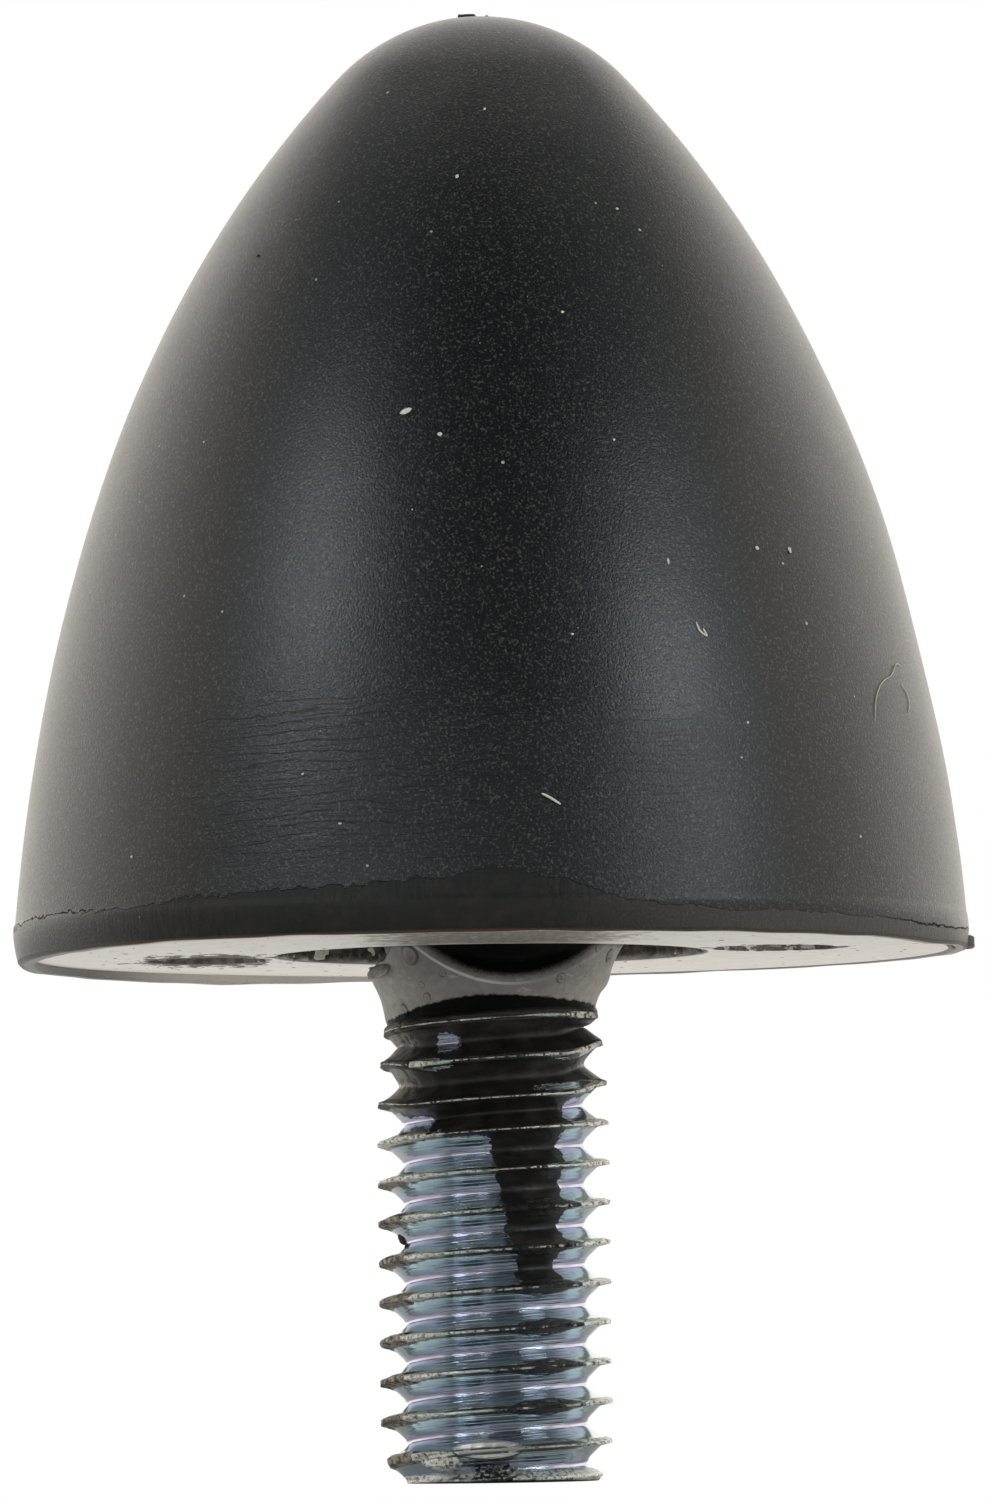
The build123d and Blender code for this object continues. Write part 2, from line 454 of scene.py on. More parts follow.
def grid_object(name, node, material, grids, attributes=None, rows_per_turn=0):
    """A closed mesh from grids of places, each one closed round its columns.

    Rows that meet in a pole, or that fall on one another, are welded. A thread's last column joins the first
    one a whole turn of rows back.
    """
    faces = []
    start = 0
    for grid in grids:
        rows, columns = grid.shape[:2]
        index = np.arange(rows * columns).reshape(rows, columns) + start
        start += rows * columns
        right = np.roll(index, -1, axis=1)
        if rows_per_turn:
            first = index[:, 0]
            right[:, -1] = np.concatenate([np.repeat(first[:1], rows_per_turn), first[:-rows_per_turn]])
        faces.append(np.stack([index[:-1], index[1:], right[1:], right[:-1]], axis=-1).reshape(-1, 4))
    mesh = bpy.data.meshes.new(name)
    places = np.vstack([grid.reshape(-1, 3) for grid in grids])
    mesh.from_pydata(places * MM, [], np.vstack(faces).tolist())
    for key, values in (attributes or {}).items():
        layer = mesh.attributes.new(key, "FLOAT", "POINT")
        layer.data.foreach_set("value", np.ascontiguousarray(values, dtype=np.float32).ravel())
    shape = bmesh.new()
    shape.from_mesh(mesh)
    bmesh.ops.remove_doubles(shape, verts=shape.verts, dist=2e-7)
    bmesh.ops.dissolve_degenerate(shape, edges=shape.edges, dist=1e-8)
    shape.to_mesh(mesh)
    shape.free()
    mesh.materials.append(material)
    mesh.shade_smooth()
    piece = bpy.data.objects.new(name, mesh)
    bpy.context.collection.objects.link(piece)
    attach(piece, "root")
    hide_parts(node)
    return piece


def dome_surface():
    """The outer skin: the dome's arcs turned about the axis, over the drafted rim, in under it and closed.

    The rim is moved down by the drop at each angle, in full at its foot and not at all at the parting line.
    It draws in less at the left and at the right. Long swells of a few hundredths of a millimetre keep the
    skin from being a perfect turning. It comes with the height above the upper edge of the trimmed band, and
    with a mark on the rows under and inside the rim.
    """
    wall = dome_wall()
    foot = base_radius - rim_draft
    inset = foot - rim_rounding
    share = np.linspace(0, 1, 16)[1:-1]
    rim = np.column_stack([base_radius - rim_draft * share**1.5, parting_height * (1 - share)])
    turn = np.linspace(0, np.pi / 2, 6)
    edge = np.column_stack([inset + rim_rounding * np.cos(turn), rim_rounding * (1 - np.sin(turn))])
    lip = np.column_stack([np.linspace(inset, plate_radius, 5), np.zeros(5)])[1:]
    inner = np.column_stack([np.full(6, plate_radius), np.linspace(0, hidden_floor, 6)])[1:]
    floor = np.array([[plate_radius / 2, hidden_floor], [0, hidden_floor]])
    profile = np.vstack([wall, rim, edge, lip, inner, floor])
    angle, radius, height = turned(profile, dome_columns)
    rows = np.arange(len(profile))[:, None]
    inside = rows >= len(wall) + len(rim) + len(edge)
    drop_share = np.where(rows < len(wall), 0, np.clip(1 - profile[:, 1:] / parting_height, 0, 1))
    right = np.cos(angle)
    full = np.clip((radius - plate_radius) / (foot - plate_radius), 0, 1) * smooth_step(-right, 0.2, 0.9)
    flare = 0.6 * smooth_step(right, 0.4, 0.85) + 0.25 * smooth_step(right, 0.93, 0.985)
    radius = radius + (0.16 * full + rim_draft * flare) * drop_share
    drop = round_value(angle, rim_drops) + round_noise(angle, 0 * height, (0.03, 60, 1, 5))
    swell = round_noise(angle, height, (0.035, 9, 6, 1), (0.012, 40, 1.7, 2)) - 0.03
    swell = np.where(rows < len(wall) - 2, swell * smooth_step(radius, 1, 7), 0)
    band = np.where(inside, -1, height - round_value(angle, band_heights))
    across, upward = outward(radius, height)
    place = placed(angle, radius + across * swell, height + upward * swell - drop * drop_share)
    return place, {"band": band, "inside": inside + 0 * angle}


def pocket_depth(angle, radius, height):
    """How far inside the smooth pocket in the front of the collar a place is: above 0 is in, in millimetres.

    Its lower edge is a parabola that is lowest a little to the right of the middle.
    """
    x = radius * np.cos(angle)
    edge = pocket_low + pocket_rise * ((x - pocket_middle) / pocket_half) ** 2
    return np.where(np.abs(front_angle(angle)) < pocket_reach, height - edge, -1)


def collar_surface():
    """The rubber in the recess and round the neck: an eased profile turned about the axis.

    Noise of two sizes makes the wall of the recess rubbly. Rings of a raised lip round a hollow are the burst
    bubbles. At the left a notch is torn in to the neck, and in front it dips into a smooth pocket with a
    slight lip. Its last rows follow the thread round, so that it ends on the first crest.
    """
    angle, radius, height = turned(eased_profile(collar_profile, collar_row), collar_columns)
    across, upward = outward(radius, height)
    rubble = round_noise(angle, height, (0.16, 90, 0.45, 11), (0.08, 240, 0.2, 12))
    rubble *= smooth_step(radius, *recess_wall) * smooth_step(height, 0.0, 0.2)
    relief = round_noise(angle, height, (0.03, 14, 0.8, 13), (0.012, 70, 0.25, 14)) - 0.02
    relief *= smooth_step(collar_mouth - radius, 0, 1)
    # Marks for the colour: a painted shadow round the outside of each bubble's lip and along the torn edge of
    # the notch, and a painted highlight just inside each lip.
    edge_shade_and_highlight = 0 * radius
    for degrees, level, size, lip in bubbles:
        around = (angle - math.radians(degrees) + np.pi) % (2 * np.pi) - np.pi
        away = np.hypot(around * radius, height - level) / size
        relief += np.where(radius < 6, lip * (bell(away, 1, 0.28) - 0.8 * bell(away, 0, 0.7)), 0)
        edge_shade_and_highlight += bell(away, 1.25, 0.22) - 0.7 * bell(away, 0.85, 0.22)
    facing = front_angle(angle)
    notch = height - table_value(facing, notch_edge) + round_noise(angle, height, (0.05, 70, 0.25, 15))
    notch = np.where(np.abs(facing + 86) < 39, notch, -1)
    edge_shade_and_highlight += 1.2 * bell(notch, -0.02, 0.06) * (facing > -85)
    pocket = pocket_depth(angle, radius, height)
    relief += 0.05 * bell(pocket, -0.05, 0.07) - 0.35 * smooth_step(pocket, 0, 0.9)
    relief = rubble + np.where(radius < collar_mouth, relief, 0)
    radius = radius + across * relief
    height = height + upward * relief
    torn = smooth_step(notch, -0.02, 0.1) * (radius < 6.3)
    radius = radius + torn * np.minimum(notch_radius + 0.4 * np.clip(height, 0, 1) - radius, 0)
    follow = smooth_step(-height, 1.2, 2.3)
    height = height + follow * thread_pitch * follow_rise * np.sin(angle - np.radians(follow_start))
    return placed(angle, radius, height), {"pocket": pocket, "edge_shade_and_highlight": edge_shade_and_highlight}


def plug_surface(side, seed):
    """The rubber in a key hole: a closed puck about the hole's own axis, with a rough, sunken face."""
    hidden = key_hole_radius + 0.15  # inside the steel of the plate
    thickness = 0.9
    face = [(share, 0.0) for share in np.linspace(0.1, key_hole_radius, 24)]
    profile = np.array([(0.0, 0.0), *face, (hidden, 0.25), (hidden, thickness), (0, thickness)])
    angle, radius, height = turned(profile, plug_columns)
    rough = round_noise(angle, radius, (1, 18, 0.5, seed), (0.5, 40, 0.22, seed + 1))
    height = height + plug_recess + np.where(height < 0.1, 0.13 * rough * smooth_step(radius, 0, 0.5), 0)
    centre = [side * key_hole_place[0], side * key_hole_place[1], 0]
    return (placed(angle, radius, height) + centre)[:, ::-1]


def lump_surface(centre, axes, seed, square=1.0, rough=0.2, rows=14, columns=24):
    """A closed lump: an ellipsoid with the given half axes. A power below 1 draws it towards a box."""
    rise = np.linspace(-np.pi / 2, np.pi / 2, rows)[:, None]
    turn = np.linspace(0, 2 * np.pi, columns, endpoint=False)[None, :]
    unit = [np.cos(rise) * np.cos(turn), np.cos(rise) * np.sin(turn), np.sin(rise) + 0 * turn]
    unit = np.stack([np.sign(value) * np.abs(value) ** square for value in unit], axis=-1)
    noise = lattice_noise(turn / (2 * np.pi) * 8 + 0 * rise, rise * 2.4 + 0 * turn + 8, seed, 8)
    swollen = 1 + rough * noise * np.cos(rise)
    return np.asarray(centre) + (unit * swollen[..., None]) @ np.asarray(axes, float)


def on_dome(degrees, height):
    """A place on the dome, with the directions round it, up it and out of it."""
    wall = dome_wall()
    order = np.argsort(wall[:, 1])
    radius = np.interp(height, wall[order, 1], wall[order, 0])
    slope = (np.interp(height + 0.1, wall[order, 1], wall[order, 0]) - radius) / 0.1
    turn = math.radians(degrees)
    around = np.array([-math.sin(turn), math.cos(turn), 0])
    upward = np.array([slope * math.cos(turn), slope * math.sin(turn), 1]) / math.hypot(slope, 1)
    return placed(turn, radius, height), around, upward, np.cross(around, upward)


def speck_surface(degrees, height, length, width, tilt):
    """A flat crumb that lies on the dome."""
    place, around, upward, out = on_dome(degrees, height)
    lean = math.radians(tilt)
    along = around * math.cos(lean) + upward * math.sin(lean)
    cross = np.cross(out, along)
    thickness = 0.08
    axes = np.array([along * length, cross * width, out * thickness]) / 2
    return lump_surface(place - 0.01 * out, axes, int(degrees * 10), rough=0.35, rows=8, columns=14)


def lint_surface(radius, *path):
    """A thread of lint: a tube along places on the dome, closed at both ends."""
    rough = [on_dome(degrees, height) for degrees, height in path]
    middle = eased_path([place + radius * 0.5 * out for place, _, _, out in rough], 10)
    out = eased_path([normal for _, _, _, normal in rough], 10)
    along = np.gradient(middle, axis=0)
    along /= np.linalg.norm(along, axis=1)[:, None]
    side = np.cross(along, out)
    side /= np.linalg.norm(side, axis=1)[:, None]
    out = np.cross(side, along)
    turn = np.linspace(0, 2 * np.pi, 8, endpoint=False)[None, :, None]
    girth = radius * np.sqrt(np.clip(1 - np.linspace(-1, 1, len(middle)) ** 6, 0, 1))[:, None, None]
    ring = girth * (np.cos(turn) * out[:, None] + np.sin(turn) * side[:, None])
    return middle[:, None] + ring


def thread_phase(angle, height):
    """Where a place lies between crests, in pitches: 0 on a crest, half on a root. It is right-handed."""
    turns = (height + crest_drop) / thread_pitch - angle / (2 * np.pi)
    return turns - np.floor(turns + 0.5)


def patch_depth(facing, height, patch):
    """How far inside an elliptic patch of the thread a place is: 1 in its middle, 0 on its edge."""
    degrees, level, wide, tall = patch
    return 1 - np.hypot((facing - degrees) / wide, (height - level) / tall)


def crest_sag(facing, height):
    """How far the first crests are moved down in front, where they sit lower than a true helix puts them."""
    level = height - thread_pitch * facing / 360
    dip = (0.3 + 0.15 * smooth_step(facing, 30, 80)) * smooth_step(level, -3.5, -2.7)
    dip *= smooth_step(facing, -170, -110) * smooth_step(facing, 150, 110)
    sag = 0.3 * smooth_step(level, -6.8, -5.6) * smooth_step(facing, -85, -40) * smooth_step(facing, 80, 40)
    return np.maximum(dip, sag) * (height < thread_start)


def thread_surface():
    """The thread as a radius over angle and height.

    Rows follow the helix, so crests and roots run along them. Along a pitch the radius falls from a narrow
    crest down a flank to a rounded root. It is capped where the first crests grow and by the chamfer at the
    end. The crests are nicked by noise, clods of dirt sit on them at the left, and the film of rubber fills
    the first roots a little. At the end of the stud metal is torn up, and in front the first crests sag.
    """
    # Shares of a pitch from a crest towards the root
    to_root = (0, 0.02, 0.045, 0.06, 0.075, 0.1, 0.13, 0.18, 0.24, 0.3, 0.36, 0.41, 0.46)
    rows_in_pitch = np.array([*to_root, 0.5, *(1 - share for share in to_root[:0:-1])])
    turns = int(math.ceil((thread_start - stud_end) / thread_pitch)) + 1
    first = math.ceil((thread_start + crest_drop) / thread_pitch)
    steps = (np.arange(turns + 1)[:, None] + rows_in_pitch).ravel()[:, None]
    angle = np.linspace(0, 2 * np.pi, thread_columns, endpoint=False)[None, :]
    free_height = -crest_drop + thread_pitch * (first - steps + angle / (2 * np.pi))
    end = stud_end + end_rise * (1 + np.cos(angle)) + 0 * free_height
    height = np.clip(free_height, end, thread_start)
    angle = np.broadcast_to(angle, height.shape)
    phase = thread_phase(angle, height)
    from_crest = np.abs(phase)
    radius = np.where(phase < 0, table_value(from_crest, flank_under), table_value(from_crest, flank_over))
    facing = front_angle(angle)
    ragged = round_noise(angle, height, (3, 60, 0.35, 24), (2, 150, 0.12, 25))
    film = height - table_value(facing + ragged, film_edges)
    fill = smooth_step(film, -0.1, 1.5) * smooth_step(from_crest, 0.15, 0.45)
    radius = radius + fill * (0.05 + 0.13 * smooth_step(-facing, 10, 60))
    crumbs = round_noise(angle, height, (1, 170, 0.14, 21))
    nicks = round_noise(angle, height, (0.06, 48, 0.8, 22))
    lumps = round_noise(angle, height, (1, 60, 0.4, 23))
    clod = smooth_step(-facing, 50 + 6 * lumps, 56 + 6 * lumps) * smooth_step(-facing, 150, 100)
    clod = clod * smooth_step(-height, 8.5, 10.0) * smooth_step(-from_crest, -0.2, -0.1)
    radius = radius + smooth_step(-from_crest, -0.13, -0.03) * (0.07 * crumbs + nicks - 0.08)
    radius = radius + clod * (0.12 + 0.12 * lumps + 0.05 * crumbs)
    cap = table_value(-height, crest_growth) + 0.03 * crumbs * smooth_step(-height, 3.0, 3.8)
    torn = {}
    for name, (patch, reach) in torn_places.items():
        torn[name] = patch_depth(facing, height, patch)
        raised = reach - torn_depth * (1 - smooth_step(torn[name], -0.05, 0.25)) + 0.05 * crumbs
        radius = np.where(torn[name] > -0.05, np.maximum(radius, raised), radius)
    chamfer = table_value(height - end, end_chamfer) + 0.05 * crumbs
    radius = np.minimum(np.minimum(radius, cap), np.minimum(chamfer, crest_radius))
    radius = np.where(height - end < 1e-6, np.minimum(radius, end_radius), radius)
    radius = np.where(thread_start - height < 1e-6, start_radius, radius)
    bare = np.max([patch_depth(facing, height, patch) for patch in bare_patches], axis=0)
    marks = {
        "from_crest": from_crest,
        "film": film,
        "clod": clod,
        "bare": np.maximum(bare, -1),
        "grime": table_value(facing, grime_widths) - from_crest,
        "flute_x": np.cos(2 * np.pi * phase),
        "flute_z": np.sin(2 * np.pi * phase),
        **torn,
    }
    marks = {name: np.vstack([grid[:1], grid, grid[-1:]]) for name, grid in marks.items()}
    height = height - crest_sag(facing, height)
    centre = 0 * height[:1]
    angle = np.vstack([angle[:1], angle, angle[-1:]])
    radius = np.vstack([centre, radius, centre])
    height = np.vstack([centre + thread_start, height, centre + stud_end + end_rise])
    return placed(angle, radius, height), marks, len(rows_in_pitch)


def colour_setting(name, description, default):
    return bpy.props.FloatVectorProperty(
        name=name, description=description, default=default, size=3, min=0, max=1, subtype="COLOR"
    )


def depth_setting(name, description, default):
    return bpy.props.FloatProperty(
        name=name, description=description, default=default, min=0, unit="LENGTH", subtype="DISTANCE"
    )


class BufferSettings(bpy.types.PropertyGroup):
    rubber_colour: colour_setting("Rubber", "Colour of the moulded rubber", (0.0032, 0.0033, 0.0039))
    # The dust colour is also the colour of the painted sheen patches on the front of the dome.
    dust_and_sheen_colour: colour_setting("Dust", "Colour of the dust that lies on the rubber", (0.5, 0.45, 0.38))
    plate_colour: colour_setting("Plate", "Colour of the plated base plate", (0.97, 0.95, 0.91))
    zinc_colour: colour_setting("Zinc", "Colour of the flanks of the thread", (0.46, 0.55, 0.6))
    crest_colour: colour_setting("Worn crest", "Colour of the worn crests of the thread", (0.74, 0.73, 0.66))
    grain_depth: depth_setting("Grain depth", "Depth of the fine grain on the rubber", 0.018 * MM)
    crease_depth: depth_setting("Crease depth", "Depth of the fine creases near the base", 0.022 * MM)
    lamp_level: bpy.props.FloatProperty(
        name="Lamp level", description="Strength of all the lamps", default=1.0, min=0, subtype="FACTOR"
    )


def rubber_material(settings):
    """Black moulded rubber: fine grain, a dusty bloom, stray pale specks, creases near the base, a painted
    sheen in two patches on the front, and a cleaner, darker trimmed band at the rim. The band is painted
    lighter towards +X as a painted reflection, and the cracks at its ends are a painted shade."""
    material, shader, place, (x, y, z) = new_shader("black_rubber")
    ragged = shader.noise(place, 1.3, 3, 0.6, stretch=(1, 1, 1.6))
    grain = shader.noise(place, 10.0, 2, 0.65)
    bloom = shader.noise(place, 0.22, 3, 0.55)
    streak = shader.noise(place, 1.5, 3, 0.6, stretch=(1, 1, 0.3))
    speckle = shader.noise(place, 9.0, 2, 0.7).rise(0.53, 0.68)
    chance, size, _ = shader.axes(shader.cells(place, 1.1, "Color"))
    speck = (shader.cells(place, 1.1) - size * 0.07).rise(0.02, 0.0) * chance.rise(0.78, 0.79)
    wander = (bloom - 0.5) * 4
    front = y.rise(0, -6)

    # The edge of the trimmed band, which fades out at both sides
    over_edge = shader.attribute("band") + (ragged - 0.5) * (0.8 - x.rise(7, 14) * 0.45)
    above_band = over_edge.rise(-0.03, 0.03)
    faded = (x.rise(0, 9) * 0.45).at_least(x.rise(-12, -17) * 0.75)
    crack = abs(over_edge).rise(0.06, 0.02) * x.rise(15.0, 17.0).at_least(x.rise(-14.5, -17.0))
    crack = crack * streak.rise(0.3, 0.45)

    # Creases of two sizes in the front near the base
    moved = x + wander
    reach = moved.rise(-13.0, -9.5) * (moved.rise(2.0, -4.0) * 0.75 + 0.25) * moved.rise(10.0, 7.0)
    reach = reach * z.rise(2.4, 3.4) * (z + wander * 0.4).rise(9.9, 8.6) * y.rise(-6, -12)
    level = z - x * 0.045 + wander * 0.12
    gaps = shader.noise(place, 1.0, 2, stretch=(0.33, 0.33, 1.6)).rise(0.42, 0.56)
    sway = shader.noise(place, 1.0, 3, 0.6, stretch=(0.22, 0.22, 0.9))
    large = (level * 15 + sway * 17).sine().rise(0.85, 1.0) * gaps
    small = (level * 32 + sway * 24).sine().rise(0.8, 1.0) * (1 - gaps) * 0.6

    rubbed = abs(x - 2.0 + wander * 0.5).rise(8.5, 5.5) * (z + wander * 0.3).rise(8.9, 7.9) * front
    # left_sheen and right_sheen: two patches on the front where the lamps' sheen falls. They are a little
    # smoother, and they are also painted lighter through the dust mix, a painted sheen.
    left_sheen = shader.ellipse((x + wander * 0.3, z), (-5.8, 15.5), (3.6, 7.5))
    right_sheen = shader.ellipse((x + wander * 0.3, z), (6.4, 10.5), (3.0, 5.5))
    polish_and_painted_sheen = left_sheen.at_least(right_sheen).rise(0.0, 0.9) * front
    dusty = bloom.rise(0.35, 0.75) * 0.5 + streak.rise(0.4, 0.8) * 0.5
    # The dust mix: the dusty bloom and the grain, plus the painted sheen of the two patches.
    dust = dusty * 0.004 * (1 - rubbed) + speckle * 0.13 + polish_and_painted_sheen * 0.008
    colour = shader.mix(dust, settings.rubber_colour, settings.dust_and_sheen_colour)
    colour = shader.mix(speck * 0.7, colour, (0.55, 0.53, 0.47))
    normal = shader.bump(above_band, 0.05, shader.bump(grain, settings.grain_depth / MM))
    normal = shader.bump(1 - (large + small) * reach, settings.crease_depth / MM, normal)
    roughness = 0.36 + (grain - 0.5) * 0.25 + rubbed * 0.05 - polish_and_painted_sheen * 0.03
    sheen = {"Sheen_Weight": 0.05, "Sheen_Roughness": 0.25, "Sheen_Tint": (1.0, 0.95, 0.88)}
    dull = shader.principled(Base_Color=colour, Roughness=roughness, Normal=normal, **sheen)

    # The trimmed band. Its colour is painted lighter towards +X, a painted reflection of the bright side
    # there.
    base = shader.paint(
        shader.mix(ragged.rise(0.45, 0.7), (0.009, 0.008, 0.0075), (0.018, 0.0145, 0.012)),
        (x.rise(2, 11) * 0.8, (0.1, 0.088, 0.077)),
        (speck * 0.4, (0.4, 0.38, 0.34)),
        (z.rise(0.14, 0.04) * 0.8, (0.1, 0.062, 0.04)),
        (shader.attribute("inside"), (0.66, 0.61, 0.555)),
    )
    cut = shader.bump(shader.noise(place, 1.0, 2, stretch=(4, 4, 0.7)), 0.05, normal)
    roughness = 0.46 + ragged * 0.15
    clean = shader.principled(Base_Color=base, Roughness=roughness, Specular_IOR_Level=0.32, Normal=cut)
    # Painted shade: the cracks at the band's ends are a dull dark surface that hardly reflects, with no depth
    # in the mesh.
    crack_shade = shader.principled(Base_Color=(0.012, 0.009, 0.007), Roughness=0.9, Specular_IOR_Level=0.05)
    skin = shader.choose(above_band.at_least(faded), clean, dull)
    shader.output(shader.choose(crack * 0.85, skin, crack_shade))
    return material


def collar_material():
    """The same rubber where it was squeezed out: a taupe bloom of bonding agent over black, painted darker in
    front as painted shade, with painted shadow and highlight round the bubbles and the torn notch, a painted
    highlight on the lip of the pocket, and a rubbly brown wall in the recess. The clean black pocket in front
    and the black band where it meets the thread hardly reflect: a painted shade."""
    material, shader, place, (x, y, z) = new_shader("collar_rubber")
    mottle = shader.noise(place, 2.6, 4, 0.65)
    grain = shader.noise(place, 12.0, 2, 0.6)
    scuff = shader.noise(place, 1.0, 3, 0.65, stretch=(0.9, 0.9, 2.6)).rise(0.62, 0.68)
    pocket, edge_shade_and_highlight = shader.attribute("pocket"), shader.attribute("edge_shade_and_highlight")
    recessed = z.rise(0.05, 0.35)
    front = y.rise(-2.0, -4.6)
    # lip: a painted highlight along the lower edge of the pocket.
    lip = abs(pocket + 0.13).rise(0.1, 0.03) * x.rise(2.6, -0.5) * front
    low = z + x * x * (0.019 + x.rise(0.5, -0.5) * 0.031) + (mottle - 0.5) * 0.25
    # Painted shade: the pocket and the band above the first crest get a near-black surface that hardly
    # reflects, standing for the shade of the pocket's depth and under the neck.
    black = (pocket + (grain - 0.5) * 0.2).rise(-0.06, 0.34).at_least(low.rise(-1.74, -1.84))
    colour = shader.paint(
        shader.mix(mottle.rise(0.3, 0.8), (0.29, 0.267, 0.244), (0.42, 0.39, 0.362)),
        # Painted shade: the front of the collar is darker.
        (front * 0.55, (0.08, 0.073, 0.067)),
        (scuff * 0.5, (0.45, 0.43, 0.4)),
        # Painted shadow round the bubbles' lips and along the notch's edge, and painted highlight inside the
        # lips.
        (edge_shade_and_highlight.rise(0.1, 0.8) * 0.75, (0.03, 0.026, 0.023)),
        (edge_shade_and_highlight.rise(-0.1, -0.6) * 0.6, (0.42, 0.39, 0.36)),
        # Painted highlight along the lip of the pocket.
        (lip * 0.75, (0.6, 0.58, 0.54)),
        (recessed, shader.mix(mottle.rise(0.35, 0.7), (0.04, 0.033, 0.028), (0.2, 0.17, 0.145))),
    )
    normal = shader.bump(mottle, 0.05, shader.bump(grain, 0.012))
    roughness = 0.42 + mottle * 0.12 + recessed * 0.2
    bloomed = shader.principled(Base_Color=colour, Roughness=roughness, Normal=normal)
    plain = {"Base_Color": (0.002, 0.002, 0.002), "Roughness": 0.35, "Specular_IOR_Level": 0.06}
    shader.output(shader.choose(black, bloomed, shader.principled(Normal=normal, **plain)))
    return material


def plug_material():
    """Rough brown rubber and dirt in the key holes."""
    material, shader, place, _ = new_shader("key_hole_rubber")
    mottle = shader.noise(place, 2.6, 4, 0.65, stretch=(0.6, 0.35, 1.0))
    colour = shader.mix(mottle.rise(0.35, 0.7), (0.06, 0.049, 0.04), (0.24, 0.205, 0.17))
    shader.output(shader.principled(Base_Color=colour, Roughness=0.7, Normal=shader.bump(mottle, 0.1)))
    return material


def plate_material(settings):
    """Pale dull plating: fine scratches, brown specks, stains at the front of the recess, ragged rubber
    smears round the key holes."""
    material, shader, place, (x, y, _) = new_shader("plate_steel")
    mottle = shader.noise(place, 0.9, 4, 0.6)
    fine = shader.noise(place, 2.4, 3, 0.6, stretch=(1.0, 3.0, 1.0))
    blot = shader.noise(place, 2.4, 3, 0.6, stretch=(0.6, 0.3, 1.0)) - 0.5
    speck = shader.noise(place, 2.4, 2, stretch=(0.9, 0.35, 1.0)).rise(0.69, 0.72)
    stain = (y + (mottle - 0.5) * 7).rise(-8.0, -10.5) * abs(x - 0.4 + blot * 9).rise(6.5, 2.5)
    dirt = (stain * fine.rise(0.34, 0.5) * 0.8).at_least(speck * 0.9)
    for side in (-1, 1):
        wide = (x - side * key_hole_place[0]) / 2.6
        deep = (y - side * key_hole_place[1]) / (3.6 - side * 1.2)
        away = (wide * wide + deep * deep) ** 0.5
        dirt = dirt.at_least((away + blot * (2.0 - side * 0.8)).rise(1.08, 1.0) * 0.9)
    colour = shader.mix(mottle.rise(0.35, 0.7), settings.plate_colour, (0.92, 0.885, 0.84))
    colour = shader.mix(fine.rise(0.6, 0.75) * 0.35, colour, (0.35, 0.31, 0.27))
    normal = shader.bump(mottle, 0.06, shader.bump(fine, 0.03))
    metal = shader.principled(Base_Color=colour, Metallic=0.85, Roughness=0.36 + mottle * 0.2, Normal=normal)
    dirt_colour = shader.mix(fine.rise(0.4, 0.6), (0.1, 0.08, 0.065), (0.26, 0.22, 0.19))
    soil = shader.principled(Base_Color=dirt_colour, Roughness=0.9, Specular_IOR_Level=0.05, Normal=normal)
    shader.output(shader.choose(dirt, metal, soil))
    return material


